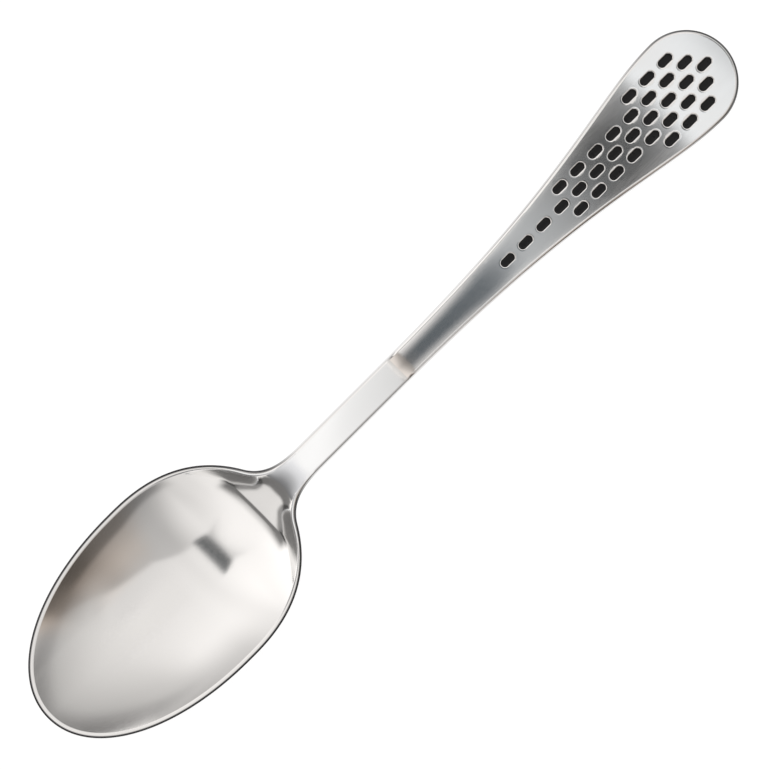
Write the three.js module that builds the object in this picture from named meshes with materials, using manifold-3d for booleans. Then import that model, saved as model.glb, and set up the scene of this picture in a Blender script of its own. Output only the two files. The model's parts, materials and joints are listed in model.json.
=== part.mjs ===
// A tablespoon: one forged steel body, with black enamel set into a field of grip slots in its handle.
// Millimetres. +X runs from the bowl's tip to the handle's end, +Z is up, and the spoon lies on z = 0.

import * as THREE from 'three';
import { LoftGeometry } from 'three/addons/geometries/LoftGeometry.js';
import { mergeVertices } from 'three/addons/utils/BufferGeometryUtils.js';
import Module from 'manifold-3d';

// Plan view, stretch by stretch from the bowl's tip
const overallLength = 206;
const bowlFront = 39.6; // tip to the widest and deepest point
const bowlBack = 28.1; // from there to the shoulder, where the round bowl turns into the hollow neck
const neckLength = 12.3; // shoulder to the straight stem
const stemLength = 24; // the handle's flare takes up the rest
const bowlWidth = 43.7;
const shoulderWidth = 16.7;
const shoulderAngle = 59.5; // degrees between the outline and the spoon's axis there
const stemWidth = 6.9;
const handleWidth = 22.7; // its end is a half circle of this width

// Reach of the tangents at both ends of each plan curve, as shares of the curve's length along the spoon
const bowlFrontReach = [0.317, 0.575];
const bowlBackReach = [0.19, 0.58];
const neckReach = [0.46, 0.34];
const flareReach = [0.65, 0.195];

// Side view: heights of the underside's edge above the table, and the arch of the handle
const tipRise = 7.4;
const rimRise = 9;
const neckRise = 12.4;
const stemAngle = 9; // degrees that the stem climbs
const crestRun = 27.3; // from the start of the stem to the top of the arch
const crestSpan = 3.4; // length of the bend there
const fallAngle = 18.5; // degrees that the handle falls behind the bend
const restLength = 16; // flat stretch under the handle's end

// Thickness of the steel on the centre line
const bowlFloor = 1.6;
const neckThickness = 3;
const crestThickness = 3.1;
const endThickness = 2.2;
const stemBelly = 0.5; // how far the stem's underside bulges below its edge
const shoulderBelly = 2.8;
const shoulderFall = 0.42; // slope of that bulge, running out into the neck

// The bowl's back, against the edge line: the floor meets a straight heel in a crease, and the heel's brow
// rolls over into the stem
const creaseSet = 4.2; // middle of the crease, ahead of the shoulder
const creaseSpan = 0.3;
const floorSlope = 0.28;
const creaseLead = 2.2; // where the floor turns up ahead of the crease
const leadSlope = 0.36; // its slope at the crease
const heelSlope = 0.62;
const heelRun = 5; // crease to brow
const browSlope = 0.3; // what is left of the heel's slope behind the brow
const browRun = 4;
const overRun = 3.5; // from there to the level top of the neck

// Height of the steel's edge, the flat land on top of it and the radius of its corners
const rimEdge = 0.9;
const neckEdge = 2.6;
const crestEdge = 2.8;
const endEdge = 2.1;
const rimThinning = 9.7; // ahead of the shoulder, where the neck's edge starts to thin out into the rim
const rimRound = 0.4;
const stemRound = 1.15;
const endRound = 0.85;
const rimLand = 0.75;
const handleLand = 0.1;
const cornerLimit = 0.48; // most of the edge's height that one corner may take up
const dishPower = 2.3; // cross sections of the bowl, steeper at the rim than a parabola
const heelPower = 3.2; // flat across at the crease, with walls at its ends
const flatRun = 11; // ahead of the crease, where the sections start to flatten
const crownPower = 2;

// Grip slots, in columns along the handle, each column half a step behind the one inside it
const columnRows = [12, 8, 3]; // slots in the middle column, and in each column further out
const slotWidth = 1.75;
const slotShare = 0.667; // of the step from slot to slot, the rest is the steel between them
const slotDepth = 0.85;
const sideMargin = 3.9; // steel beside the outer columns where the handle is widest
const slotMargin = 2.3; // steel beside the first side columns where they run out
const slotDraft = 0.12; // how much narrower a slot is at its floor, each side
const slotLip = 0.18; // rolled lip at its mouth

// Enamel in the slots
const fillClearance = 0.03;
const fillRecess = 0.3; // its edge lies this far below the steel
const fillSag = 0.12; // and its middle this much lower
const fillShoulder = 0.4; // width of its sloping margin

// Facets
const curveSteps = { front: 16, back: 16, neck: 12, stem: 8, flare: 22, end: 10 };
const flareCrowding = 1.5; // sections of the flare crowd towards the bend
const acrossSteps = [0, 0.3, 0.55, 0.75, 0.9, 1];
const capSteps = 4; // facets round each end of a slot
const flareSamples = 80; // points that the handle's width is read from
const weldGap = 1e-4;

const steel = { color: 0xc9cac8, metalness: 1, roughness: 0.25 };
const enamel = { color: 0x0b0b0c, metalness: 0, roughness: 0.2 };

// Places along the spoon that follow from the stretches
const shoulderAt = bowlFront + bowlBack;
const creaseAt = shoulderAt - creaseSet;
const browAt = creaseAt + heelRun;
const overAt = browAt + browRun;
const neckTopAt = overAt + overRun;
const stemAt = shoulderAt + neckLength;
const flareAt = stemAt + stemLength;
const crestAt = stemAt + crestRun;
const endRadius = handleWidth / 2;
const endCentre = overallLength - endRadius;
const restAt = overallLength - restLength;
const stemSlope = Math.tan(THREE.MathUtils.degToRad(stemAngle));
const fallSlope = Math.tan(THREE.MathUtils.degToRad(fallAngle));

// A smooth line through knots of [place, height, slope], each span a cubic
function smoothLine(knots) {
  return (s) => {
    const last = knots.length - 2;
    const next = knots.findIndex((knot) => knot[0] > s);
    const span = next < 0 ? last : Math.max(next - 1, 0);
    const [s0, z0, m0] = knots[span];
    const [s1, z1, m1] = knots[span + 1];
    const run = s1 - s0;
    const t = THREE.MathUtils.clamp((s - s0) / run, 0, 1);
    const rise = t * t * (3 - 2 * t);
    const lead = t * (1 - t) * (1 - t) * run;
    const trail = t * t * (t - 1) * run;
    return z0 + (z1 - z0) * rise + m0 * lead + m1 * trail;
  };
}

// Underside's edge in the side view: rim, climbing stem, bend, falling handle, flat end
const bendFrom = crestAt - crestSpan / 2;
const bendTo = crestAt + crestSpan / 2;
const bendRise = neckRise + stemSlope * (bendFrom - stemAt);
const edgeLine = smoothLine([
  [0, tipRise, (2 * (rimRise - tipRise)) / bowlFront],
  [bowlFront, rimRise, 0],
  [stemAt, neckRise, stemSlope],
  [bendFrom, bendRise, stemSlope],
  [bendTo, bendRise + ((stemSlope - fallSlope) * crestSpan) / 2, -fallSlope],
  [restAt, 0, 0],
  [overallLength, 0, 0],
]);

// Depth of the underside's centre below that line
const underDrop = smoothLine([
  [bowlFront, rimRise, 0],
  [shoulderAt, shoulderBelly, -shoulderFall],
  [stemAt, stemBelly, 0],
  [crestAt, stemBelly, 0],
  [restAt, 0, 0],
]);

// Height of the top's centre above it: below it inside the bowl, up the heel, then along the handle
const overRise = neckThickness - (browSlope * overRun) / 2;
const browRise = overRise - ((heelSlope + browSlope) * browRun) / 2;
const heelRise = browRise - heelSlope * (heelRun - creaseSpan / 2);
const creaseRise = heelRise - ((leadSlope + heelSlope) * creaseSpan) / 2;
const leadRise = creaseRise - ((floorSlope + leadSlope) * creaseLead) / 2;
const creaseFrom = creaseAt - creaseSpan / 2;
const topRise = smoothLine([
  [bowlFront, bowlFloor - rimRise, 0],
  [creaseFrom - creaseLead, leadRise, floorSlope],
  [creaseFrom, creaseRise, leadSlope],
  [creaseAt + creaseSpan / 2, heelRise, heelSlope],
  [browAt, browRise, heelSlope],
  [overAt, overRise, browSlope],
  [neckTopAt, neckThickness, 0],
  [crestAt, crestThickness, 0],
  [endCentre, endThickness, 0],
]);

// The steel's edge along the spoon: its height, its corners, and where the top starts inside its land
const rimEnd = shoulderAt - rimThinning;
const edgeHeight = smoothLine([
  [rimEnd, rimEdge, 0],
  [neckTopAt, neckEdge, 0],
  [crestAt, crestEdge, 0],
  [endCentre, endEdge, 0],
]);
const cornerWanted = smoothLine([
  [rimEnd, rimRound, 0],
  [neckTopAt, stemRound, 0],
  [crestAt, stemRound, 0],
  [endCentre, endRound, 0],
]);
const cornerRadius = (s) => Math.min(cornerWanted(s), edgeHeight(s) * cornerLimit);
const landWidth = smoothLine([
  [rimEnd, rimLand, 0],
  [neckTopAt, handleLand, 0],
]);
const topInset = (s) => cornerRadius(s) + landWidth(s);

// How the cross sections bend, from dished to flat to crowned
const sectionPower = smoothLine([
  [creaseAt - flatRun, dishPower, 0],
  [creaseAt, heelPower, 0],
  [neckTopAt, crownPower, 0],
]);

// The +Y half of the plan outline, from the bowl's tip to the handle's end
function planCurves() {
  const point = (x, y) => new THREE.Vector2(x, y);
  const angle = THREE.MathUtils.degToRad(shoulderAngle);
  const slant = point(Math.cos(angle), -Math.sin(angle));
  const level = point(1, 0);
  const upright = point(0, 1);
  const tip = point(0, 0);
  const widest = point(bowlFront, bowlWidth / 2);
  const shoulder = point(shoulderAt, shoulderWidth / 2);
  const stem = point(stemAt, stemWidth / 2);
  const flare = point(flareAt, stemWidth / 2);
  const end = point(endCentre, endRadius);
  const bezier = (from, fromWay, to, toWay, [fromReach, toReach]) => {
    const run = to.x - from.x;
    const leaving = from.clone().addScaledVector(fromWay, fromReach * run);
    const arriving = to.clone().addScaledVector(toWay, -toReach * run);
    return new THREE.CubicBezierCurve(from, leaving, arriving, to);
  };
  return {
    front: bezier(tip, upright, widest, level, bowlFrontReach),
    back: bezier(widest, level, shoulder, slant, bowlBackReach),
    neck: bezier(shoulder, slant, stem, level, neckReach),
    stem: new THREE.LineCurve(stem, flare),
    flare: bezier(flare, level, end, level, flareReach),
    end: new THREE.EllipseCurve(endCentre, 0, endRadius, endRadius, Math.PI / 2, 0, true),
  };
}

const outline = planCurves();

// Points of the half outline with their outward normals
function outlinePoints() {
  const points = [];
  for (const [name, curve] of Object.entries(outline)) {
    const steps = curveSteps[name];
    const crowding = name === 'flare' ? flareCrowding : 1;
    for (let i = 0; i < steps; i++) {
      const share = (i / steps) ** crowding;
      const tangent = curve.getTangentAt(share);
      points.push({ at: curve.getPointAt(share), normal: new THREE.Vector2(-tangent.y, tangent.x) });
    }
  }
  points.push({ at: new THREE.Vector2(overallLength, 0), normal: new THREE.Vector2(1, 0) });
  return points;
}

// Once round the outline, counterclockwise from above: out along -Y, back along +Y
function outlineLoop() {
  const half = outlinePoints();
  const mirrored = half.map(({ at, normal }) => ({
    at: new THREE.Vector2(at.x, -at.y),
    normal: new THREE.Vector2(normal.x, -normal.y),
  }));
  return [...mirrored, ...half.slice(1, -1).reverse()];
}

// Foot of a section on the centre line: they fan out round the bowl's deepest point and the end's centre
function footOf(x) {
  return THREE.MathUtils.clamp(x, bowlFront, endCentre);
}

// A point of the underside or the top, on the line from a section's foot to the outline moved in by inset
function skinPoint({ at, normal }, inset, across, centreOffset, edgeOffset) {
  const edge = at.clone().addScaledVector(normal, -inset);
  const foot = new THREE.Vector2(footOf(edge.x), 0);
  const centreZ = edgeLine(foot.x) + centreOffset(foot.x);
  const edgeZ = edgeLine(edge.x) + edgeOffset(edge.x);
  const rise = across ** sectionPower(foot.x);
  const plan = foot.lerp(edge, across);
  return new THREE.Vector3(plan.x, plan.y, centreZ + (edgeZ - centreZ) * rise);
}

const undersidePoint = (station, across) => {
  const inset = cornerRadius(station.at.x);
  return skinPoint(station, inset, across, (s) => -underDrop(s), () => 0);
};

const topPoint = (station, across) => {
  const inset = topInset(station.at.x);
  return skinPoint(station, inset, across, topRise, edgeHeight);
};

// A point of the edge: inset from the outline, height above the edge line
function edgePoint({ at, normal }, inset, height) {
  const plan = at.clone().addScaledVector(normal, -inset);
  return new THREE.Vector3(plan.x, plan.y, edgeLine(at.x) + height);
}

// The rounded edge from the underside up to the land, as rows of points
function edgeRows() {
  const slant = 1 - Math.SQRT1_2;
  return [
    (p, r) => edgePoint(p, r * slant, r * slant),
    (p, r) => edgePoint(p, 0, r),
    (p, r, h) => edgePoint(p, 0, h - r),
    (p, r, h) => edgePoint(p, r * slant, h - r * slant),
    (p, r, h) => edgePoint(p, r, h),
  ].map((row) => (p) => row(p, cornerRadius(p.at.x), edgeHeight(p.at.x)));
}

// A loft's bare surface, with equal vertices joined and the triangles dropped that this closes up
function weldedLoft(sections, caps) {
  const loft = new LoftGeometry(sections, caps);
  const bare = new THREE.BufferGeometry();
  bare.setAttribute('position', loft.attributes.position);
  bare.setIndex(loft.index);
  const welded = mergeVertices(bare, weldGap);
  const index = Array.from(welded.index.array);
  const kept = [];
  for (let i = 0; i < index.length; i += 3) {
    const [a, b, c] = index.slice(i, i + 3);
    if (a !== b && b !== c && c !== a) kept.push(a, b, c);
  }
  welded.setIndex(kept);
  return welded;
}

// The steel blank: rings round the outline, from under the centre line out to the edge and in over the top
function blankGeometry() {
  const loop = outlineLoop();
  const rows = [
    ...acrossSteps.map((across) => (p) => undersidePoint(p, across)),
    ...edgeRows(),
    ...acrossSteps.toReversed().map((across) => (p) => topPoint(p, across)),
  ];
  return weldedLoft(rows.map((row) => loop.map(row)));
}

// Half-width of the handle at a place along it, or the place from the half-width
const flarePoints = [outline.stem.v1, ...outline.flare.getPoints(flareSamples)];
function readFlare(known, size, wanted) {
  const after = flarePoints.findIndex((point) => point[known] > size);
  if (after < 1) return flarePoints.at(after)[wanted];
  const a = flarePoints[after - 1];
  const b = flarePoints[after];
  return THREE.MathUtils.mapLinear(size, a[known], b[known], a[wanted], b[wanted]);
}

// The columns share the handle's width, and the first side columns fill the length that is wide enough
const columnStart = (column) => 1 - column / 2; // steps past the end's centre
const columnStep = (endRadius - sideMargin - slotWidth / 2) / (columnRows.length - 1);
const narrowAt = readFlare('y', columnStep + slotWidth / 2 + slotMargin, 'x');
const stepsBehind = columnRows[1] - 1 - columnStart(1) + slotShare / 2;
const slotStep = (endCentre - narrowAt + slotWidth / 2) / stepsBehind;
const slotLength = slotStep * slotShare;

// A round-ended slot outline grown by offset, at height z
function slotSection(offset, z) {
  const radius = slotWidth / 2 + offset;
  const capAt = (slotLength - slotWidth) / 2;
  const points = [];
  for (const side of [1, -1]) {
    for (let i = 0; i <= capSteps; i++) {
      const angle = Math.PI * (i / capSteps - side / 2);
      points.push(new THREE.Vector3(side * capAt + radius * Math.cos(angle), radius * Math.sin(angle), z));
    }
  }
  return points;
}

// How far a slot's drafted wall lies inside its mouth at height z below the steel
function wallOffset(z) {
  return (-slotDraft * (-z - slotLip)) / (slotDepth - slotLip);
}

// What is pressed out of the steel: drafted walls, then a lip that opens outwards past the surface
function slotCutter() {
  const sections = [
    slotSection(wallOffset(-slotDepth), -slotDepth),
    slotSection(0, -slotLip),
    slotSection(2 * slotLip, slotLip),
  ];
  return weldedLoft(sections, { capStart: true, capEnd: true });
}

// The enamel: it fills the slot from the floor up, its top sags, and the last section closes on a line
function fillGeometry() {
  const floor = fillClearance - slotDepth;
  const sections = [
    slotSection(wallOffset(floor) - fillClearance, floor),
    slotSection(wallOffset(-fillRecess) - fillClearance, -fillRecess),
    slotSection(wallOffset(-fillRecess) - fillShoulder, -fillRecess - fillSag),
    slotSection(-slotWidth / 2, -fillRecess - fillSag),
  ];
  return weldedLoft(sections, { capStart: true });
}

// Distance of a point from the centre line, and of the handle's edge in the same direction
function reachAt(s, y) {
  if (s > endCentre) return [Math.hypot(s - endCentre, y), endRadius];
  return [Math.abs(y), readFlare('x', s, 'y')];
}

function handleTop(s, y) {
  const [off, reach] = reachAt(s, y);
  const centreZ = edgeLine(s) + topRise(s);
  const edgeZ = edgeLine(s) + edgeHeight(s);
  return centreZ + (edgeZ - centreZ) * (off / (reach - topInset(s))) ** crownPower;
}

// Place on the handle's top: x along the handle, z out of the steel
function slotFrame(s, y) {
  const reach = slotWidth / 2;
  const slopeX = (handleTop(s + reach, y) - handleTop(s - reach, y)) / slotWidth;
  const slopeY = (handleTop(s, y + reach) - handleTop(s, y - reach)) / slotWidth;
  const out = new THREE.Vector3(-slopeX, -slopeY, 1).normalize();
  const along = new THREE.Vector3(1, 0, slopeX).normalize();
  const across = new THREE.Vector3().crossVectors(out, along);
  return new THREE.Matrix4().makeBasis(along, across, out).setPosition(s, y, handleTop(s, y));
}

// Frames of all slots: columns side by side, each from its start back along the handle
function slotFrames() {
  const frames = [];
  columnRows.forEach((rows, column) => {
    const sides = column === 0 ? [1] : [-1, 1];
    for (const side of sides) {
      for (let row = 0; row < rows; row++) {
        const s = endCentre + slotStep * (columnStart(column) - row);
        frames.push(slotFrame(s, side * column * columnStep));
      }
    }
  });
  return frames;
}

const wasm = await Module();
wasm.setup();

function toSolid(geometry) {
  const vertProperties = new Float32Array(geometry.attributes.position.array);
  const triVerts = new Uint32Array(geometry.index.array);
  return new wasm.Manifold(new wasm.Mesh({ numProp: 3, vertProperties, triVerts }));
}

function toGeometry(solid) {
  const mesh = solid.getMesh();
  const geometry = new THREE.BufferGeometry();
  geometry.setAttribute('position', new THREE.BufferAttribute(mesh.vertProperties, 3));
  geometry.setIndex(new THREE.BufferAttribute(mesh.triVerts, 1));
  return geometry;
}

// The finished body: the blank with every slot pressed into it
function bodyGeometry(frames) {
  const cutter = slotCutter();
  let solid = toSolid(blankGeometry());
  for (const frame of frames) {
    solid = solid.subtract(toSolid(cutter.clone().applyMatrix4(frame)));
  }
  return toGeometry(solid);
}

function addMesh(group, name, geometry, finish) {
  const mesh = new THREE.Mesh(geometry, new THREE.MeshStandardMaterial(finish));
  mesh.name = name;
  group.add(mesh);
  return mesh;
}

const spoon = new THREE.Group();
spoon.name = 'tablespoon';
spoon.position.x = -overallLength / 2;

const frames = slotFrames();
addMesh(spoon, 'spoon_body', bodyGeometry(frames), steel);
frames.forEach((frame, i) => {
  const fill = addMesh(spoon, `slot_fill_${String(i + 1).padStart(2, '0')}`, fillGeometry(), enamel);
  fill.applyMatrix4(frame);
});

export default spoon;
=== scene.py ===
import json
import math
import bmesh
import bpy
import numpy as np
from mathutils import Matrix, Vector
from mathutils.geometry import delaunay_2d_cdt

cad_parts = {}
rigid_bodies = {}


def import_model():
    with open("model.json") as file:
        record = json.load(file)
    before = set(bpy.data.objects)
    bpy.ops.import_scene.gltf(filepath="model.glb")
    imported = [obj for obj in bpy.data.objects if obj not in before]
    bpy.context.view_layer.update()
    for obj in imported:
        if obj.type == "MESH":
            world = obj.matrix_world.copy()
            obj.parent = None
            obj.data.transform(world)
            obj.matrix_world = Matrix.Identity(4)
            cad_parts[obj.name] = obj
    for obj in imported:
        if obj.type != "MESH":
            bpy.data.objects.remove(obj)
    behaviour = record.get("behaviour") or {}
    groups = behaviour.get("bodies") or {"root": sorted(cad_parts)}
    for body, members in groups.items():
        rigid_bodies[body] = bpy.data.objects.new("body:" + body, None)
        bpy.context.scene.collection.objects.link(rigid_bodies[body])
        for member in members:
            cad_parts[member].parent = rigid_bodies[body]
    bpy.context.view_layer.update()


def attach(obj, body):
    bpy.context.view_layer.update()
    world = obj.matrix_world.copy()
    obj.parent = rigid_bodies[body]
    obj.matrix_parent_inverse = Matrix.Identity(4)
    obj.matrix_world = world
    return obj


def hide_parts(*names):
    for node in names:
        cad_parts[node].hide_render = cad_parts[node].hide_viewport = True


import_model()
mm = 0.001
tiny = 1e-6  # a length that counts as none

# The spoon's own sizes, in millimetres along s from the bowl's tip, as the CAD part has them
plan = {
    "length": 206.0,
    "bowlFront": 39.6,
    "bowlBack": 28.1,
    "neck": 12.3,
    "stem": 24.0,
    "bowlWidth": 43.7,
    "shoulderWidth": 16.7,
    "shoulderAngle": 59.5,
    "stemWidth": 6.9,
    "handleWidth": 22.7,
    "frontReach": (0.317, 0.575),  # how far each curve's handles reach, as shares of its run
    "backReach": (0.19, 0.58),
    "neckReach": (0.46, 0.34),
    "flareReach": (0.65, 0.195),
    "curvePoints": 1500,  # on each curve, before it is spaced evenly
    "fineSpacing": 0.1,
}
side = {
    "tipRise": 7.4,
    "rimRise": 9.0,
    "neckRise": 12.4,
    "stemAngle": 9.0,
    "crestRun": 27.3,
    "crestSpan": 3.4,
    "fallAngle": 18.5,
    "restLength": 16.0,
    "bowlFloor": 1.6,
    "neckThickness": 3.0,
    "crestThickness": 3.1,
    "endThickness": 2.2,
    "stemBelly": 0.5,
    "shoulderBelly": 2.8,
    "shoulderFall": 0.42,
}
heel = {
    "ahead": 4.2, "span": 0.3, "floorSlope": 0.28, "lead": 2.2, "leadSlope": 0.36,
    "slope": 0.62, "run": 5.0,
    "browSlope": 0.30, "browRun": 4.0, "overRun": 3.5,
}
edge = {
    "rim": 0.9, "neck": 2.6, "crest": 2.8, "end": 2.1,
    "rimRound": 0.4, "stemRound": 1.15, "endRound": 0.85,
    "thinning": 9.7, "rimLand": 0.75, "handleLand": 0.1, "cornerLimit": 0.48, "landTilt": 0.1,
}
power = {"dish": 2.3, "heel": 3.2, "crown": 2.0, "flatRun": 11.0}  # of the share across, for the sections

shoulderAt = plan["bowlFront"] + plan["bowlBack"]
creaseAt = shoulderAt - heel["ahead"]
browAt = creaseAt + heel["run"]
overAt = browAt + heel["browRun"]
neckTopAt = overAt + heel["overRun"]
stemAt = shoulderAt + plan["neck"]
flareAt = stemAt + plan["stem"]
crestAt = stemAt + side["crestRun"]
endRadius = plan["handleWidth"] / 2
endCentre = plan["length"] - endRadius
restAt = plan["length"] - side["restLength"]
rimEnd = shoulderAt - edge["thinning"]


# Cubic spans between knots of (place, height, slope), held level outside them
def smoothLine(*knots):
    at, height, slope = np.array(knots, float).T

    def line(s):
        s = np.clip(s, at[0], at[-1])
        i = np.clip(np.searchsorted(at, s, side="right") - 1, 0, len(at) - 2)
        run = at[i + 1] - at[i]
        t = (s - at[i]) / run
        bend = slope[i] * t * (1 - t) ** 2 + slope[i + 1] * t * t * (t - 1)
        return height[i] + (height[i + 1] - height[i]) * t * t * (3 - 2 * t) + bend * run

    return line


# The edge's height above the table: up from the tip to the bend, then down to where the handle's end rests
stemSlope = math.tan(math.radians(side["stemAngle"]))
fallSlope = math.tan(math.radians(side["fallAngle"]))
bendFrom, bendTo = crestAt - side["crestSpan"] / 2, crestAt + side["crestSpan"] / 2
bendRise = side["neckRise"] + stemSlope * (bendFrom - stemAt)
tipSlope = 2 * (side["rimRise"] - side["tipRise"]) / plan["bowlFront"]
edgeLine = smoothLine(
    (0, side["tipRise"], tipSlope),
    (plan["bowlFront"], side["rimRise"], 0),
    (stemAt, side["neckRise"], stemSlope),
    (bendFrom, bendRise, stemSlope),
    (bendTo, bendRise + (stemSlope - fallSlope) * side["crestSpan"] / 2, -fallSlope),
    (restAt, 0, 0),
    (plan["length"], 0, 0),
)
underDrop = smoothLine(
    (plan["bowlFront"], side["rimRise"], 0),
    (shoulderAt, side["shoulderBelly"], -side["shoulderFall"]),
    (stemAt, side["stemBelly"], 0),
    (crestAt, side["stemBelly"], 0),
    (restAt, 0, 0),
)

# The top on the centre line, from the bowl's floor over the crease, the heel and the brow to the handle
overRise = side["neckThickness"] - heel["browSlope"] * heel["overRun"] / 2
browRise = overRise - (heel["browSlope"] + heel["slope"]) * heel["browRun"] / 2
heelRise = browRise - heel["slope"] * (heel["run"] - heel["span"] / 2)
creaseRise = heelRise - (heel["slope"] + heel["leadSlope"]) * heel["span"] / 2
leadRise = creaseRise - (heel["leadSlope"] + heel["floorSlope"]) * heel["lead"] / 2
creaseFrom = creaseAt - heel["span"] / 2
topRise = smoothLine(
    (plan["bowlFront"], side["bowlFloor"] - side["rimRise"], 0),
    (creaseFrom - heel["lead"], leadRise, heel["floorSlope"]),
    (creaseFrom, creaseRise, heel["leadSlope"]),
    (creaseAt + heel["span"] / 2, heelRise, heel["slope"]),
    (browAt, browRise, heel["slope"]),
    (overAt, overRise, heel["browSlope"]),
    (neckTopAt, side["neckThickness"], 0),
    (crestAt, side["crestThickness"], 0),
    (endCentre, side["endThickness"], 0),
)
edgeHeight = smoothLine((rimEnd, edge["rim"], 0), (neckTopAt, edge["neck"], 0),
                        (crestAt, edge["crest"], 0), (endCentre, edge["end"], 0))
cornerWanted = smoothLine((rimEnd, edge["rimRound"], 0), (neckTopAt, edge["stemRound"], 0),
                          (crestAt, edge["stemRound"], 0), (endCentre, edge["endRound"], 0))
landWidth = smoothLine((rimEnd, edge["rimLand"], 0), (neckTopAt, edge["handleLand"], 0))
sectionPower = smoothLine((creaseAt - power["flatRun"], power["dish"], 0),
                          (creaseAt, power["heel"], 0), (neckTopAt, power["crown"], 0))


# The edge's rounding, no more than a share of its height
def cornerRadius(s):
    return np.minimum(cornerWanted(s), edgeHeight(s) * edge["cornerLimit"])


# Angle at which the crowned top meets the rounded edge; none where the top lies below it, as in the bowl
def crownTilt(at):
    foot = np.clip(at[:, 0], plan["bowlFront"], endCentre)
    reach = np.hypot(at[:, 0] - foot, at[:, 1]) - cornerRadius(at[:, 0])
    rise = np.maximum(topRise(foot) - edgeHeight(at[:, 0]), 0)
    return np.arctan(sectionPower(foot) * rise / np.maximum(reach, edge["rimRound"]))


# How far inside the outline the rounded edge ends, and the top begins
def topInset(at):
    tilt = crownTilt(at)
    corner = cornerRadius(at[:, 0]) * (1 - np.sin(tilt))
    return corner, corner + landWidth(at[:, 0]) * np.clip(1 - tilt / edge["landTilt"], 0, 1)


# Half outline on the +Y side, evenly spaced, with the way out from each point: four Bezier curves with a
# straight stem between them, and a quarter circle
def halfOutline(spacing):
    angle = math.radians(plan["shoulderAngle"])
    slant = np.array((math.cos(angle), -math.sin(angle)))
    level = np.array((1.0, 0.0))
    upright = np.array((0.0, 1.0))
    tip = np.zeros(2)
    widest = np.array((plan["bowlFront"], plan["bowlWidth"] / 2))
    shoulder = np.array((shoulderAt, plan["shoulderWidth"] / 2))
    stem = np.array((stemAt, plan["stemWidth"] / 2))
    flare = np.array((flareAt, plan["stemWidth"] / 2))
    end = np.array((endCentre, endRadius))
    t = np.linspace(0, 1, plan["curvePoints"])[:, None]

    def bezier(a, aWay, b, bWay, reach):
        run = b[0] - a[0]
        c, d = a + aWay * reach[0] * run, b - bWay * reach[1] * run
        return a * (1 - t) ** 3 + 3 * c * t * (1 - t) ** 2 + 3 * d * t * t * (1 - t) + b * t ** 3

    turn = t * math.pi / 2
    curves = [
        bezier(tip, upright, widest, level, plan["frontReach"]),
        bezier(widest, level, shoulder, slant, plan["backReach"]),
        bezier(shoulder, slant, stem, level, plan["neckReach"]),
        stem + (flare - stem) * t,
        bezier(flare, level, end, level, plan["flareReach"]),
        np.hstack((endCentre + endRadius * np.sin(turn), endRadius * np.cos(turn))),
    ]
    fine = np.vstack([c[:-1] for c in curves] + [curves[-1][-1:]])
    along = np.concatenate(([0], np.cumsum(np.linalg.norm(np.diff(fine, axis=0), axis=1))))
    want = np.linspace(0, along[-1], int(along[-1] / spacing) + 1)
    at = np.column_stack([np.interp(want, along, fine[:, k]) for k in (0, 1)])
    way = np.gradient(fine, along, axis=0)
    way = np.column_stack([np.interp(want, along, way[:, k]) for k in (0, 1)])
    way[0], way[-1] = (0, 1), (0, -1)
    out = np.column_stack((-way[:, 1], way[:, 0]))
    return at, out / np.linalg.norm(out, axis=1)[:, None]


# Once round, counterclockwise from above: out along -Y, back along +Y
def fullOutline(spacing):
    at, out = halfOutline(spacing)
    flip = np.array((1, -1))
    return np.vstack((at * flip, at[-2:0:-1])), np.vstack((out * flip, out[-2:0:-1]))


# Heights over the plan of a skin: from the centre line out to the inset outline, as a power of the share
# across
def skinHeight(footS, edgeS, across, centre, rim):
    centreZ = edgeLine(footS) + centre(footS)
    edgeZ = edgeLine(edgeS) + rim(edgeS)
    return centreZ + (edgeZ - centreZ) * across ** sectionPower(footS)


# One row of a skin: at the same share of the way from the centre line to the inset outline all round
def skinRow(at, out, inset, across, centre, rim):
    rimAt = at - out * inset[:, None]
    footS = np.clip(rimAt[:, 0], plan["bowlFront"], endCentre)
    foot = np.column_stack((footS, np.zeros(len(at))))
    z = skinHeight(footS, rimAt[:, 0], across, centre, rim)
    return np.column_stack((foot + (rimAt - foot) * across, z))


# One row of the edge: the outline moved in by the inset, at a height above the edge's line
def edgeRow(at, out, inset, height):
    return np.column_stack((at - out * inset[:, None], edgeLine(at[:, 0]) + height))


outlineAt, outlineOut = halfOutline(plan["fineSpacing"])
topRim = outlineAt - outlineOut * topInset(outlineAt)[1][:, None]
rimByPlace = topRim[np.argsort(topRim[:, 0])]


# Distance of a place on the handle from the centre line, or from the round end's middle beyond it, and the
# distance at which the top's rim lies there
def topReach(s, y):
    beyond = s > endCentre
    off = np.where(beyond, np.hypot(s - endCentre, y), np.abs(y))
    reach = np.interp(s, rimByPlace[:, 0], rimByPlace[:, 1])
    return off, np.where(beyond, topRim[-1, 0] - endCentre, reach)


# Height of the handle's top at any place: the skin's height at the share of the way to its rim
def handleTop(s, y):
    footS = np.clip(s, plan["bowlFront"], endCentre)
    off, reach = topReach(s, y)
    edgeS = np.where(s > endCentre, endCentre + (s - endCentre) * reach / np.maximum(off, tiny), s)
    return skinHeight(footS, edgeS, off / reach, topRise, edgeHeight)


# Unit normal of the handle's top, from its slopes over a short step
def topNormal(s, y, step=0.02):
    slopeS = (handleTop(s + step, y) - handleTop(s - step, y)) / (2 * step)
    slopeY = (handleTop(s, y + step) - handleTop(s, y - step)) / (2 * step)
    normal = np.stack((-slopeS, -slopeY, np.ones_like(slopeS)), -1)
    return normal / np.linalg.norm(normal, axis=-1, keepdims=True)


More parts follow.
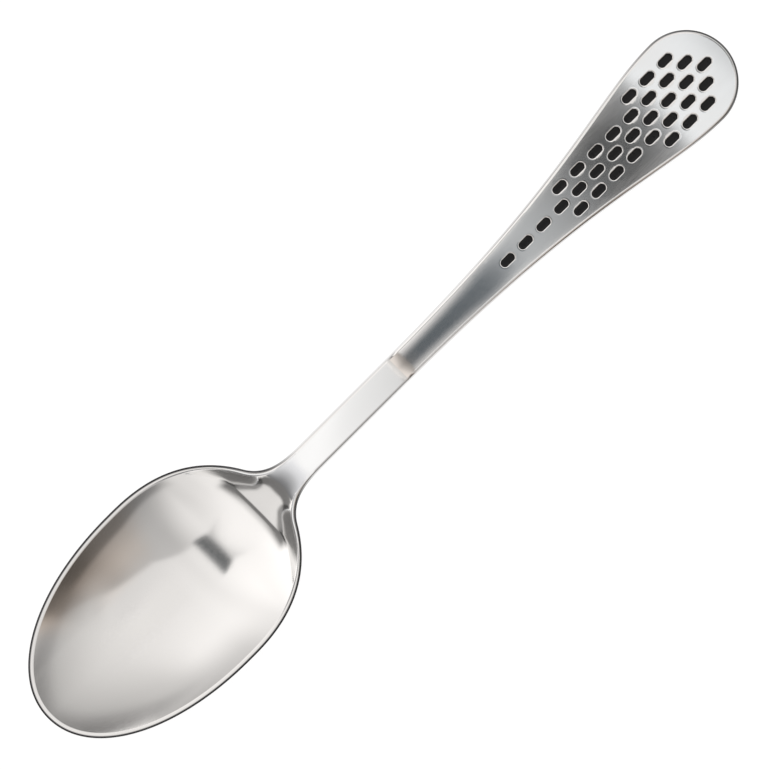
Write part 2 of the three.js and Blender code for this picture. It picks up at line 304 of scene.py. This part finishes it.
# Slots in columns, each column half a step behind the one inside it; rows counts the middle column first
slots = {
    "rows": (12, 8, 3),
    "width": 1.75, "share": 0.667, "depth": 0.85, "draft": 0.12, "lip": 0.24,
    "sideMargin": 3.9, "endMargin": 2.3,
    "points": 48, "lipRings": 7, "wallRings": 5, "floorShares": (0.4, 1.0),
}
columnStep = (endRadius - slots["sideMargin"] - slots["width"] / 2) / (len(slots["rows"]) - 1)
flareSide = outlineAt[(outlineAt[:, 0] >= flareAt) & (outlineAt[:, 0] <= endCentre)]
narrowAt = np.interp(columnStep + slots["width"] / 2 + slots["endMargin"], flareSide[:, 1], flareSide[:, 0])
# The step sets the second column's last slot where the handle is just wide enough for it
slotStep = (endCentre - narrowAt + slots["width"] / 2) / (slots["rows"][1] - 1.5 + slots["share"] / 2)
slotReach = (slotStep * slots["share"] - slots["width"]) / 2  # from a slot's middle to its ends' centres
slotPlaces = [
    (endCentre + slotStep * (1 - column / 2 - row), sign * column * columnStep)
    for column, rows in enumerate(slots["rows"])
    for sign in ((1,) if column == 0 else (-1, 1))
    for row in range(rows)
]
print("slots:", len(slotPlaces), "step", round(slotStep, 3), "columns", round(columnStep, 3))


# Round-ended outline as unit steps: centres of its two ends, and the way out from them
def slotRing(count):
    turn = np.linspace(-0.5, 0.5, count // 2) * math.pi
    right = np.column_stack((np.cos(turn), np.sin(turn)))
    ends = np.repeat((1.0, -1.0), count // 2)
    return ends, np.vstack((right, -right))


# Rings of a slot from (offset, depth) pairs: offset grows the outline in plan, depth goes into the steel
def slotRings(place, profile, count):
    s0, y0 = place
    normal = topNormal(np.array(s0), np.array(y0))
    ends, way = slotRing(count)
    rings = []
    for offset, depth in profile:
        radius = slots["width"] / 2 + offset
        s = s0 + (ends * slotReach + way[:, 0] * radius) * normal[2]
        y = y0 + way[:, 1] * radius
        rings.append(np.column_stack((s, y, handleTop(s, y))) - normal * depth)
    return rings


# How far the slot's wall has drawn in at a depth: evenly, from the lip's foot down to the floor
def wallOffset(depth):
    return -slots["draft"] * (depth - slots["lip"]) / (slots["depth"] - slots["lip"])


# A slot's section: a quarter round lip, the drawn-in wall, and the floor in to its middle
def slotProfile():
    lip, depth = slots["lip"], slots["depth"]
    floorIn = wallOffset(depth)
    turns = np.linspace(0, math.pi / 2, slots["lipRings"])
    profile = [(lip * (1 - math.sin(turn)), lip * (1 - math.cos(turn))) for turn in turns]
    profile += [(wallOffset(d), d) for d in np.linspace(lip, depth, slots["wallRings"])[1:]]
    toMiddle = slots["width"] / 2 + floorIn
    return profile + [(floorIn - share * toMiddle, depth) for share in slots["floorShares"]]


def addMesh(name, points, faces):
    mesh = bpy.data.meshes.new(name)
    mesh.from_pydata(points, [], faces)
    mesh.update()
    made = bpy.data.objects.new(name, mesh)
    bpy.context.scene.collection.objects.link(made)
    return made


# From millimetres along s to metres about the spoon's middle
def addPiece(name, points, faces):
    return addMesh(name, (np.asarray(points) - (plan["length"] / 2, 0, 0)) * mm, faces)


# Quads between rings of equal count, closed round
def ringFaces(ringCount, count):
    i, j = np.meshgrid(np.arange(count), np.arange(ringCount - 1))
    a = j * count + i
    b = j * count + (i + 1) % count
    return np.stack((a, b, b + count, a + count), -1).reshape(-1, 4)


# Weld seams and poles, let collapsed quads become triangles, and count the edges that stay open
def weld(piece, gap, sliver=1e-7):
    work = bmesh.new()
    work.from_mesh(piece.data)
    bmesh.ops.remove_doubles(work, verts=work.verts, dist=gap)
    bmesh.ops.dissolve_degenerate(work, edges=work.edges, dist=sliver)
    bmesh.ops.delete(work, geom=[v for v in work.verts if not v.link_faces], context="VERTS")
    bmesh.ops.recalc_face_normals(work, faces=work.faces)
    openEdges = sum(1 for e in work.edges if len(e.link_faces) != 2)
    work.to_mesh(piece.data)
    work.free()
    piece.data.shade_smooth()
    return openEdges


# The steel body: rings round the outline from under the centre line, out, up the rounded edge and in over the
# top. Behind patchFrom the top's inner rings give way to a patch, triangles round the slots. The painted shade
# is a dark line painted along the edge in place of the rim's dark reflection: how far in it reaches and by
# what power it goes, the share of the land over which it ends, and how strong it is along s
body = {
    "spacing": 0.55, "under": 22, "corner": 9, "top": 26, "rimRows": 5,
    "paintedShade": 0.55, "paintedShadePower": 6, "paintedShadeEnd": 0.25,
    "paintedShadeTone": ((70.0, 1.0), (80.0, 0.12), (180.0, 0.15), (204.0, 1.0)),
    "patchFrom": 128.0, "patchStep": 0.55, "rimGap": 0.35, "slotGap": 0.55, "nearGap": 0.3,
    "weld": 2e-6,
}
# Strength along s of the painted shade on the edge, a dark reflection painted into the steel's colour
paintedShadeTone = smoothLine(*[(at, tone, 0) for at, tone in body["paintedShadeTone"]])
topShares = np.sin(np.linspace(1, 0, body["top"]) * math.pi / 2)  # across, of the top's rows from its rim in


# All rings of the body, the strength of the painted edge shade at their points, and which ring is the top's
# first
def bodyRings(at, out):
    corner = cornerRadius(at[:, 0])
    height = edgeHeight(at[:, 0])
    tilt = crownTilt(at)
    cornerIn, inset = topInset(at)
    shares = np.sin(np.linspace(0, 1, body["under"]) * math.pi / 2)
    rings = [skinRow(at, out, corner, share, lambda s: -underDrop(s), lambda s: 0 * s) for share in shares]
    turns = np.linspace(0, math.pi / 2, body["corner"])[1:]
    rings += [edgeRow(at, out, corner * (1 - np.sin(a)), corner * (1 - np.cos(a))) for a in turns]
    upper = [a * (1 - tilt / (math.pi / 2)) for a in np.append(0, turns)]
    upperIn = corner * (1 - np.cos(upper))
    firstUpper = len(rings)
    rings += [edgeRow(at, out, goesIn, height - corner * (np.cos(tilt) - np.sin(a)))
              for goesIn, a in zip(upperIn, upper)]
    rings.append(edgeRow(at, out, cornerIn + (inset - cornerIn) * body["paintedShadeEnd"], height))
    firstTop = len(rings)
    rings += [skinRow(at, out, inset, share, topRise, edgeHeight) for share in topShares]
    paintedShade = np.zeros((len(rings), len(at)))
    # Painted shade: the rim's dark reflection, painted onto the points of the upper corner
    paintedShade[firstUpper:firstTop - 1] = np.clip(1 - (upperIn / body["paintedShade"]) ** body["paintedShadePower"], 0, 1)
    return rings, (paintedShade * paintedShadeTone(at[:, 0])).ravel(), firstTop


# Loose points of the patch: an even grid in staggered rows that keeps off the rim and the slots, and a ring
# round each slot
def loosePoints(rim):
    step = body["patchStep"]
    gridS, gridY = np.meshgrid(np.arange(body["patchFrom"], plan["length"], step),
                               np.arange(-endRadius, endRadius + step, step))
    gridS = gridS + step / 2 * (np.arange(len(gridY)) % 2)[:, None]
    gridS, gridY = gridS.ravel(), gridY.ravel()
    toSlot = np.full(len(gridS), np.inf)
    for s0, y0 in slotPlaces:
        gap = np.hypot(np.maximum(np.abs(gridS - s0) - slotReach, 0), gridY - y0) - slots["width"] / 2
        toSlot = np.minimum(toSlot, gap)
    off, reach = topReach(gridS, gridY)
    inside = off < reach * topShares[body["rimRows"]] - body["rimGap"]
    inside = inside & (gridS > rim[:, 0].min() + body["rimGap"])
    free = inside & (toSlot > slots["lip"] + body["slotGap"])
    around = [(slots["lip"] + body["nearGap"], 0)]
    near = np.vstack([slotRings(place, around, slots["points"] // 2)[0] for place in slotPlaces])
    s = np.append(gridS[free], near[:, 0])
    y = np.append(gridY[free], near[:, 1])
    return np.column_stack((s, y, handleTop(s, y)))


# Points and triangles between the patch's rim, the slots' mouths and the loose points. A triangle with all
# three corners on one mouth lies over that slot, and is left out
def fillPatch(rim, mouths, loose):
    loops = [rim] + mouths
    points = np.vstack(loops + [loose])
    links, start = [], 0
    for loop in loops:
        k = np.arange(len(loop))
        links.append(np.column_stack((start + k, start + (k + 1) % len(loop))))
        start += len(loop)
    flat = [Vector(p) for p in points[:, :2].tolist()]
    insideOnly = 1
    found = delaunay_2d_cdt(flat, np.vstack(links).tolist(), [], insideOnly, tiny)
    source = np.array([ids[0] for ids in found[3]])
    triangles = source[np.array([tuple(f) for f in found[2]])]
    mouthOf = np.repeat(np.arange(len(loops)), [len(loop) for loop in loops])  # 0 is the rim
    corners = np.append(mouthOf, np.zeros(len(loose), int))[triangles]
    overSlot = (corners[:, 0] > 0) & (corners == corners[:, :1]).all(1)
    return points, triangles[~overSlot]


def steelBody():
    at, out = fullOutline(body["spacing"])
    count = len(at)
    rings, paintedShade, firstTop = bodyRings(at, out)
    points = np.vstack(rings)
    faces = ringFaces(len(rings), count)

    # The quads of the top's inner rows whose stations lie behind patchFrom go
    onHandle = at[:, 0] > body["patchFrom"]
    both = onHandle & np.roll(onHandle, -1)
    row, column = np.divmod(np.arange(len(faces)), count)
    firstPatch = firstTop + body["rimRows"]
    kept = faces[(row < firstPatch) | ~both[column]]

    # The patch's rim: the row outside it along the handle, then the section that closes it
    stations = np.flatnonzero(onHandle)
    first, last = stations[0], stations[-1]
    closing = np.arange(firstPatch + 1, len(rings)) * count
    rim = points[np.concatenate((firstPatch * count + stations, closing + last, (closing[::-1] + first)[1:]))]

    profile = slotProfile()
    walls = [slotRings(place, profile, slots["points"]) for place in slotPlaces]
    patch, triangles = fillPatch(rim, [wall[0] for wall in walls], loosePoints(rim))
    wallFaces = ringFaces(len(profile), slots["points"])[:, ::-1]
    allPoints = np.vstack([points, patch] + [np.vstack(wall) for wall in walls])
    allFaces = kept.tolist() + (triangles + len(points)).tolist()
    start = len(points) + len(patch)
    for wall in walls:
        allFaces += (wallFaces + start).tolist()
        start += len(profile) * slots["points"]
    piece = addPiece("steel_body", allPoints, allFaces)
    paintedShadeAll = np.zeros(len(allPoints))
    paintedShadeAll[:len(paintedShade)] = paintedShade
    # The painted edge shade goes onto the steel as a point attribute
    piece.data.attributes.new("edgeBand", "FLOAT", "POINT").data.foreach_set("value", paintedShadeAll)
    openEdges = weld(piece, body["weld"])
    piece.data.calc_loop_triangles()
    print("steel body:", len(piece.data.vertices), "points",
          len(piece.data.loop_triangles), "triangles", openEdges, "open edges")
    return piece


# A slot's filling: rings from under its middle, out along the floor, up the wall and in over the top, which
# sags by one less the cube of the way still to go to the middle
enamel = {"recess": 0.3, "sag": 0.12, "gap": 0.01, "floorShare": 0.5, "topRings": 8, "weld": 1e-6}


def enamelFill(index, place):
    recess, gap = enamel["recess"], enamel["gap"]
    half = slots["width"] / 2
    floor = slots["depth"] - gap
    floorIn = wallOffset(floor) - gap
    rimIn = wallOffset(recess) - gap
    profile = [(-half, floor), (floorIn - enamel["floorShare"] * (half + floorIn), floor),
               (floorIn, floor), (rimIn, recess)]
    for share in np.linspace(0, 1, enamel["topRings"])[1:]:
        profile.append((rimIn - share * (half + rimIn), recess + enamel["sag"] * (1 - (1 - share) ** 3)))
    points = np.vstack(slotRings(place, profile, slots["points"]))
    piece = addPiece(f"enamel_{index + 1:02d}", points, ringFaces(len(profile), slots["points"]).tolist())
    return piece, weld(piece, enamel["weld"])


# A node's output: sums and products of wires and numbers add Math nodes
class Wire:
    def __init__(self, tree, output=None):
        self.tree, self.output = tree, output

    def node(self, kind, settings, inputs, out=0):
        made = self.tree.nodes.new(kind)
        for name, value in settings.items():
            if name == "stops":
                ramp = made.color_ramp
                while len(ramp.elements) < len(value):
                    ramp.elements.new(0.5)
                for element, (place, colour) in zip(ramp.elements, value):
                    element.position, element.color = place, colour
            else:
                setattr(made, name, value)
        for name, value in inputs.items():
            if isinstance(value, Wire):
                self.tree.links.new(value.output, made.inputs[name])
            else:
                made.inputs[name].default_value = value
        return Wire(self.tree, made.outputs[out] if made.outputs else None)

    def split(self, vector):
        made = self.node("ShaderNodeSeparateXYZ", {}, {"Vector": vector}).output.node
        return [Wire(self.tree, output) for output in made.outputs]

    def math(self, operation, *values):
        return self.node("ShaderNodeMath", {"operation": operation}, dict(enumerate(values)))

    # Smooth step from 0 at low to 1 at high
    def fade(self, low, high):
        return self.node("ShaderNodeMapRange", {"interpolation_type": "SMOOTHSTEP"},
                         {"Value": self, "From Min": low, "From Max": high})

    # This wire as the share of the way from one colour to another
    def mix(self, colour, other):
        return self.node("ShaderNodeMix", {"data_type": "RGBA"}, {0: self, 6: colour, 7: other}, 2)

    def __add__(self, other):
        return self.math("ADD", self, other)

    def __sub__(self, other):
        return self.math("SUBTRACT", self, other)

    def __rsub__(self, other):
        return self.math("SUBTRACT", other, self)

    def __mul__(self, other):
        return self.math("MULTIPLY", self, other)

    __radd__, __rmul__ = __add__, __mul__


def newMaterial(name):
    made = bpy.data.materials.new(name)
    made.use_nodes = True
    made.node_tree.nodes.clear()
    return made, Wire(made.node_tree)


# Satin steel: grain drawn out along the spoon and soft clouds spread the roughness, and the edge has a painted
# dark reflection, painted shade that darkens its colour there
steelLook = {
    # edge is the colour of the painted shade along the rim, a dark reflection painted into the steel
    "colour": (0.87, 0.868, 0.864, 1), "edge": (0.04, 0.04, 0.042, 1),
    "roughness": 0.11, "grainSpread": 0.06, "cloudSpread": 0.05, "edgeRoughness": 0.15,
    "grainScale": (60, 2600, 2600), "grainDetail": 4.0, "grainRoughness": 0.6,
    "cloudScale": 90.0, "cloudDetail": 3.0,
    "bump": 0.04, "bumpDepth": 0.00005,
}


def steelMaterial():
    look = steelLook
    made, board = newMaterial("satin steel")
    spot = board.node("ShaderNodeTexCoord", {}, {}, "Object")
    stretched = board.node("ShaderNodeMapping", {}, {"Vector": spot, "Scale": look["grainScale"]})
    grain = board.node("ShaderNodeTexNoise", {}, {
        "Vector": stretched, "Scale": 1.0,
        "Detail": look["grainDetail"], "Roughness": look["grainRoughness"]})
    clouds = board.node("ShaderNodeTexNoise", {}, {
        "Vector": spot, "Scale": look["cloudScale"], "Detail": look["cloudDetail"]})
    least = look["roughness"] - (look["grainSpread"] + look["cloudSpread"]) / 2
    rough = grain * look["grainSpread"] + clouds * look["cloudSpread"] + least
    bump = board.node("ShaderNodeBump", {}, {
        "Strength": look["bump"], "Distance": look["bumpDepth"], "Height": grain})
    # The painted edge shade darkens the steel's colour here, in place of the rim's dark reflection
    paintedShade = board.node("ShaderNodeAttribute", {"attribute_name": "edgeBand"}, {}, "Fac")
    shader = board.node("ShaderNodeBsdfPrincipled", {}, {
        "Base Color": paintedShade.mix(look["colour"], look["edge"]), "Metallic": 1.0,
        "Roughness": rough + paintedShade * look["edgeRoughness"], "Normal": bump})
    board.node("ShaderNodeOutputMaterial", {}, {"Surface": shader})
    return made


enamelLook = {
    "colour": (0.010, 0.010, 0.011, 1), "specular": 0.2,
    "roughness": 0.2, "cloudSpread": 0.2, "cloudScale": 900.0, "cloudDetail": 3.0,
}


def enamelMaterial():
    look = enamelLook
    made, board = newMaterial("black enamel")
    spot = board.node("ShaderNodeTexCoord", {}, {}, "Object")
    clouds = board.node("ShaderNodeTexNoise", {}, {
        "Vector": spot, "Scale": look["cloudScale"], "Detail": look["cloudDetail"]})
    shader = board.node("ShaderNodeBsdfPrincipled", {}, {
        "Base Color": look["colour"], "Roughness": clouds * look["cloudSpread"] + look["roughness"],
        "Specular IOR Level": look["specular"]})
    board.node("ShaderNodeOutputMaterial", {}, {"Surface": shader})
    return made


steel = steelBody()
steel.data.materials.append(steelMaterial())
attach(steel, "root")
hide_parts("spoon_body")

enamelFinish = enamelMaterial()
openTotal = 0
for index, place in enumerate(slotPlaces):
    fill, openEdges = enamelFill(index, place)
    openTotal += openEdges
    fill.data.materials.append(enamelFinish)
    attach(fill, "root")
    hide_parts(f"slot_fill_{index + 1:02d}")
print("enamel fills:", len(slotPlaces), "open edges", openTotal)

# Floor: white to the eye and in reflections, with the spoon's soft shadow left in its matt part
floorLook = {"size": 6.0, "drop": 0.0002, "glow": 0.81, "colour": (0.30, 0.30, 0.30, 1)}


def makeFloor():
    half = floorLook["size"] / 2
    z = -floorLook["drop"]
    corners = [(-half, -half, z), (half, -half, z), (half, half, z), (-half, half, z)]
    floor = addMesh("floor", corners, [(0, 1, 2, 3)])
    made, board = newMaterial("floor white")
    seen = board.node("ShaderNodeLightPath", {}, {}, "Is Camera Ray")
    rays = seen.output.node.outputs
    for name in ("Is Glossy Ray", "Is Transmission Ray"):
        seen = seen.math("MAXIMUM", seen, Wire(board.tree, rays[name]))
    matt = board.node("ShaderNodeBsdfDiffuse", {}, {"Color": floorLook["colour"]})
    glow = board.node("ShaderNodeEmission", {}, {"Color": (1, 1, 1, 1), "Strength": seen * floorLook["glow"]})
    both = board.node("ShaderNodeAddShader", {}, {0: matt, 1: glow})
    board.node("ShaderNodeOutputMaterial", {}, {"Surface": both})
    floor.data.materials.append(made)
    print("floor:", floorLook["size"], "m")


makeFloor()

# Cards hung over the spoon, and one laid before it, seen only in its reflections. x is a card's span, half its
# half-widths along y at both ends of it and flare the power by which they change between; sides give instead
# where it fades in and out along y. soft is how far it fades at both ends and at the sides. levels are
# (place along x, level), and slant shifts them along x with the distance from the middle and with y. cut thins
# the card where y + slope * x is less than at
cards = {
    "cardBend": {  # the dark stretch behind the bend
        "x": (0.505, 0.72), "z": 0.79, "sides": ((-0.62, -0.10), (0.05, 0.55)), "soft": (0.022, 0.022, 0.0),
        "tint": (0.87, 1.0, 1.11), "levels": ((0.505, 0.15), (0.56, 0.12), (0.72, 0.12))},
    "cardHandle": {  # the handle, from that stretch to its bright end
        "x": (0.22, 2.1), "z": 3.0, "half": (0.22, 1.1), "flare": 2.4, "soft": (0.04, 0.08, 0.045),
        "tint": (0.98, 1.0, 1.015), "levels": (
            (0.22, 0.96), (0.30, 0.98), (0.34, 1.01), (0.425, 1.0), (0.455, 0.50), (0.50, 0.33),
            (0.60, 0.18), (0.745, 0.13), (0.885, 0.09), (0.987, 0.09), (1.15, 0.13), (1.337, 0.29),
            (1.483, 0.40), (1.619, 0.465), (1.745, 0.555), (1.838, 0.61), (2.1, 0.60))},
    "cardCrest": {  # the bend itself
        "x": (0.0, 0.070), "z": 0.10, "half": (0.065, 0.065), "soft": (0.003, 0.006, 0.010),
        "slant": (-0.7, 0.0), "tint": (1.08, 0.99, 0.92), "levels": (
            (-0.045, 0.95), (0.0, 0.75), (0.0115, 0.62), (0.0236, 0.49), (0.0368, 0.377), (0.0511, 0.287),
            (0.063, 0.22))},
    "cardStem": {  # the stem
        "x": (-0.041, -0.005), "z": 0.050, "half": (0.030, 0.030), "soft": (0.003, 0.003, 0.008),
        "slant": (0.0, -0.13), "tint": (1.005, 1.0, 0.995), "levels": (
            (-0.041, 1.08), (-0.034, 1.10), (-0.031, 1.08), (-0.0277, 1.03), (-0.0244, 0.97), (-0.018, 0.90),
            (-0.0113, 0.84), (-0.005, 0.76))},
    "cardBrow": {  # the brow between stem and heel
        "x": (-0.058, -0.030), "z": 0.030, "half": (0.012, 0.012), "soft": (0.002, 0.002, 0.003),
        "tint": (1.0, 1.0, 1.02), "levels": (
            (-0.058, 0.19), (-0.052, 0.24), (-0.046, 0.38), (-0.040, 0.56), (-0.036, 0.75), (-0.030, 0.95))},
    "cardBowl": {  # the dark patch in the bowl before the heel
        "x": (-0.337, -0.270), "z": 0.40, "half": (0.052, 0.113), "flare": 0.3, "soft": (0.005, 0.010, 0.010),
        "tint": (0.95, 1.0, 1.03), "levels": ((-0.337, 0.06), (-0.270, 0.14))},
    "cardGround": {  # on the floor before the tip, for the steep flanks of the heel
        "x": (-1.3, -0.112), "z": 0.0004, "half": (0.55, 0.075), "soft": (0.05, 0.004, 0.02),
        "tint": (1.0, 1.0, 1.0), "levels": ((-1.3, 0.40), (-0.112, 0.40))},
    "cardVeil": {  # keeps the handle's card out of the bowl's middle
        "x": (-0.085, -0.010), "z": 0.199, "half": (0.030, 0.030), "soft": (0.030, 0.020, 0.020),
        "slant": (0.12, 0.0), "tint": (1.03, 1.0, 0.97), "levels": (
            (-0.085, 0.86), (-0.050, 0.87), (-0.020, 0.778), (-0.010, 0.737))},
    "cardTip": {  # the bowl towards its tip
        "x": (-0.060, 0.080), "z": 0.20, "sides": ((-0.48, -0.05), (0.10, 0.82)), "soft": (0.040, 0.004, 0.0),
        "cut": {"at": -0.281, "slope": 2.5, "soft": 0.015, "share": 0.4},
        "slant": (0.12, 0.0), "tint": (1.03, 1.0, 0.97), "levels": (
            (-0.060, 0.88), (-0.050, 0.88), (-0.020, 0.778), (0.0, 0.697), (0.015, 0.626), (0.030, 0.567),
            (0.043, 0.508), (0.055, 0.334), (0.068, 0.253), (0.090, 0.12))},
}


def hangCard(name, x, z, soft, tint, levels, half=(0, 0), flare=1.0, slant=(0, 0), sides=None, cut=None):
    low, high = (sides[0][0], sides[1][1]) if sides else (-max(half) - soft[2], max(half) + soft[2])
    corners = [(x[0], low, z), (x[0], high, z), (x[1], high, z), (x[1], low, z)]
    card = addMesh(name, corners, [(0, 1, 2, 3)])
    made, board = newMaterial(name)
    px, py = board.split(board.node("ShaderNodeTexCoord", {}, {}, "Object"))[:2]
    aside = py.math("ABSOLUTE", py)
    first, span = levels[0][0], levels[-1][0] - levels[0][0]
    stops = [((at - first) / span, tuple(level * part for part in tint) + (1,)) for at, level in levels]
    along = (px + aside * slant[0] + py * slant[1] - first) * (1 / span)
    light = board.node("ShaderNodeValToRGB", {"stops": stops}, {"Fac": along})
    if sides:
        mask = py.fade(*sides[0]) * (1 - py.fade(*sides[1]))
    else:
        share = (px - x[0]) * (1 / (x[1] - x[0]))
        width = share.math("POWER", share, flare) * (half[1] - half[0]) + half[0]
        mask = (width - aside).fade(-soft[2], soft[2])
    mask = mask * px.fade(x[0], x[0] + soft[0]) * (1 - px.fade(x[1] - soft[1], x[1]))
    if cut:
        beyond = (cut["at"] - py - px * cut["slope"]).fade(-cut["soft"], cut["soft"])
        mask = mask * (1 - beyond * cut["share"])
    glow = board.node("ShaderNodeEmission", {}, {"Color": light, "Strength": 1.0})
    clear = board.node("ShaderNodeBsdfTransparent", {}, {})
    both = board.node("ShaderNodeMixShader", {}, {0: mask, 1: clear, 2: glow})
    board.node("ShaderNodeOutputMaterial", {}, {"Surface": both})
    card.data.materials.append(made)
    card.visible_camera = card.visible_diffuse = card.visible_shadow = False


for name, card in cards.items():
    hangCard(name, **card)
print("cards:", len(cards))

# World: white to the camera; to everything else a tent, whose level changes along x and grows along y. Masks
# darken it, each by its step. A plane is (a, b, c, d) for a * x + b * y + c * z = d, with the dark side below
# it; past frontX, towards the handle's end, another plane takes over. Pairs are where a mask begins and is
# whole, or begins to go and is gone. Right is -y, seen from the tip
tent = {
    "alongX": (
        (-1.0, 0.84), (-0.957, 0.84), (-0.93, 1.0), (-0.80, 1.12), (-0.675, 1.09), (-0.60, 1.02),
        (-0.50, 0.995), (-0.35, 0.86), (-0.20, 0.89), (0.0, 0.866), (0.12, 0.83), (0.24, 0.85),
        (0.36, 0.92), (0.50, 1.0), (1.0, 1.0)),
    "slopeY": 0.24, "frontX": (0.12, 0.20),
    "tint": (1.03, 1.0, 0.975, 1), "warm": (1.17, 0.99, 0.85, 1),  # warm far to the right
    "warmRight": (0.40, 0.90), "warmX": (-0.25, 0.15), "warmEnd": (0.28, 0.40),
    "border": (0.555, 0.785, -0.276, -0.644), "frontBorder": (0.446, 0.503, 0.739, 0.414), "borderSoft": 0.03,
    "borderX": (-0.70, -0.46), "borderLean": 0.25, "borderRight": (0.10, 0.31), "borderStep": 0.307,
    "wedgeX": (0.0, 0.09), "wedgeStep": 0.26,  # below the border's plane just behind frontX
    "ground": (0.05, 0.658), "groundX": (-0.60, 0.52), "groundEnd": (0.22, 0.34), "groundStep": 0.78,
    "dark": (-0.180, -0.667, 0.723, 0.851), "darkSoft": 0.022,  # darker still, low on the right
    "frontDark": (-2.41, 0.0, 1.0, 0.372), "frontSoft": 0.085,
    "darkX": (-0.50, -0.36), "darkEnd": (0.25, 0.31), "darkRight": (0.2, 0.6), "darkStep": 0.504,
    "stripX": (0.685, 0.82), "stripEnd": (0.93, 0.957),  # a dark strip before the tip
    "stripY": (0.48, 0.60), "stripStep": 0.82,
    "horizon": (0.12, 0.20), "horizonX": (0.66, 0.72),  # and the horizon there
    "horizonY": (0.5, 0.6), "horizonStep": 0.65,
}


def makeWorld():
    world = bpy.data.worlds.new("tent")
    bpy.context.scene.world = world
    world.use_nodes = True
    world.node_tree.nodes.clear()
    board = Wire(world.node_tree)
    dx, dy, dz = board.split(board.node("ShaderNodeTexCoord", {}, {}, "Generated"))
    tipward, right, aside = dx * -1, dy * -1, dy.math("ABSOLUTE", dy)
    front = dx.fade(*tent["frontX"])

    def within(value, begins, ends):
        return value.fade(*tent[begins]) * (1 - value.fade(*tent[ends]))

    def below(plane, soft):
        a, b, c, d = tent[plane]
        return 1 - (dx * a + dy * b + dz * c - d).fade(-tent[soft], tent[soft])

    def blend(rear, ahead):
        return rear + (ahead - rear) * front

    most = max(level for at, level in tent["alongX"])
    stops = [((at + 1) / 2, (level / most,) * 3 + (1,)) for at, level in tent["alongX"]]
    level = board.node("ShaderNodeValToRGB", {"stops": stops}, {"Fac": dx * 0.5 + 0.5})
    level = level * (dy * tent["slopeY"] + 1) * most
    border = below("border", "borderSoft")
    onRight = right.fade(*tent["borderRight"])
    leaning = (dx + dy * tent["borderLean"]).fade(*tent["borderX"])
    darkPlane = blend(below("dark", "darkSoft"), below("frontDark", "frontSoft"))
    lowTipward = (1 - dz.fade(*tent["horizon"])) * tipward.fade(*tent["horizonX"])
    masks = {
        "borderStep": blend(border, below("frontBorder", "borderSoft")) * leaning * onRight,
        "wedgeStep": border * within(dx, "wedgeX", "frontX") * onRight,
        "groundStep": (1 - dz.fade(*tent["ground"])) * within(dx, "groundX", "groundEnd"),
        "darkStep": darkPlane * within(dx, "darkX", "darkEnd") * right.fade(*tent["darkRight"]),
        "stripStep": within(tipward, "stripX", "stripEnd") * (1 - aside.fade(*tent["stripY"])),
        "horizonStep": lowTipward * (1 - aside.fade(*tent["horizonY"])),
    }
    for step, mask in masks.items():
        level = level * (1 - mask * tent[step])
    warm = right.fade(*tent["warmRight"]) * within(dx, "warmX", "warmEnd")
    seen = board.node("ShaderNodeLightPath", {}, {}, "Is Camera Ray")
    colour = seen.mix(warm.mix(tent["tint"], tent["warm"]), (1, 1, 1, 1))
    room = board.node("ShaderNodeBackground", {}, {"Color": colour, "Strength": level * (1 - seen) + seen})
    board.node("ShaderNodeOutputWorld", {}, {"Surface": room})
    print("tent:", len(masks), "masks")


makeWorld()

# Camera straight above, turned so that the spoon lies along the picture's diagonal
view = {
    "turn": 44.9, "height": 1.4, "sharpAt": 0.008, "sensor": 36.0,
    "pixelsPerMm": 4.640, "frame": 770, "shiftPx": (1.5, 4.0),
}


def makeCamera():
    turn = math.radians(view["turn"])
    right = np.array((math.cos(turn), -math.sin(turn)))
    up = np.array((math.sin(turn), math.cos(turn)))
    metresPerPixel = mm / view["pixelsPerMm"]
    spot = -(right * view["shiftPx"][0] + up * view["shiftPx"][1]) * metresPerPixel
    camera = bpy.data.cameras.new("camera")
    camera.sensor_width = view["sensor"]
    camera.lens = camera.sensor_width * view["height"] / (view["frame"] * metresPerPixel)
    holder = bpy.data.objects.new("camera", camera)
    holder.location = (spot[0], spot[1], view["height"] + view["sharpAt"])
    holder.rotation_euler = (0, 0, -turn)
    bpy.context.scene.collection.objects.link(holder)
    bpy.context.scene.camera = holder
    print("camera: lens", round(camera.lens, 1), "mm")


makeCamera()
bpy.context.scene.view_settings.view_transform = "Standard"
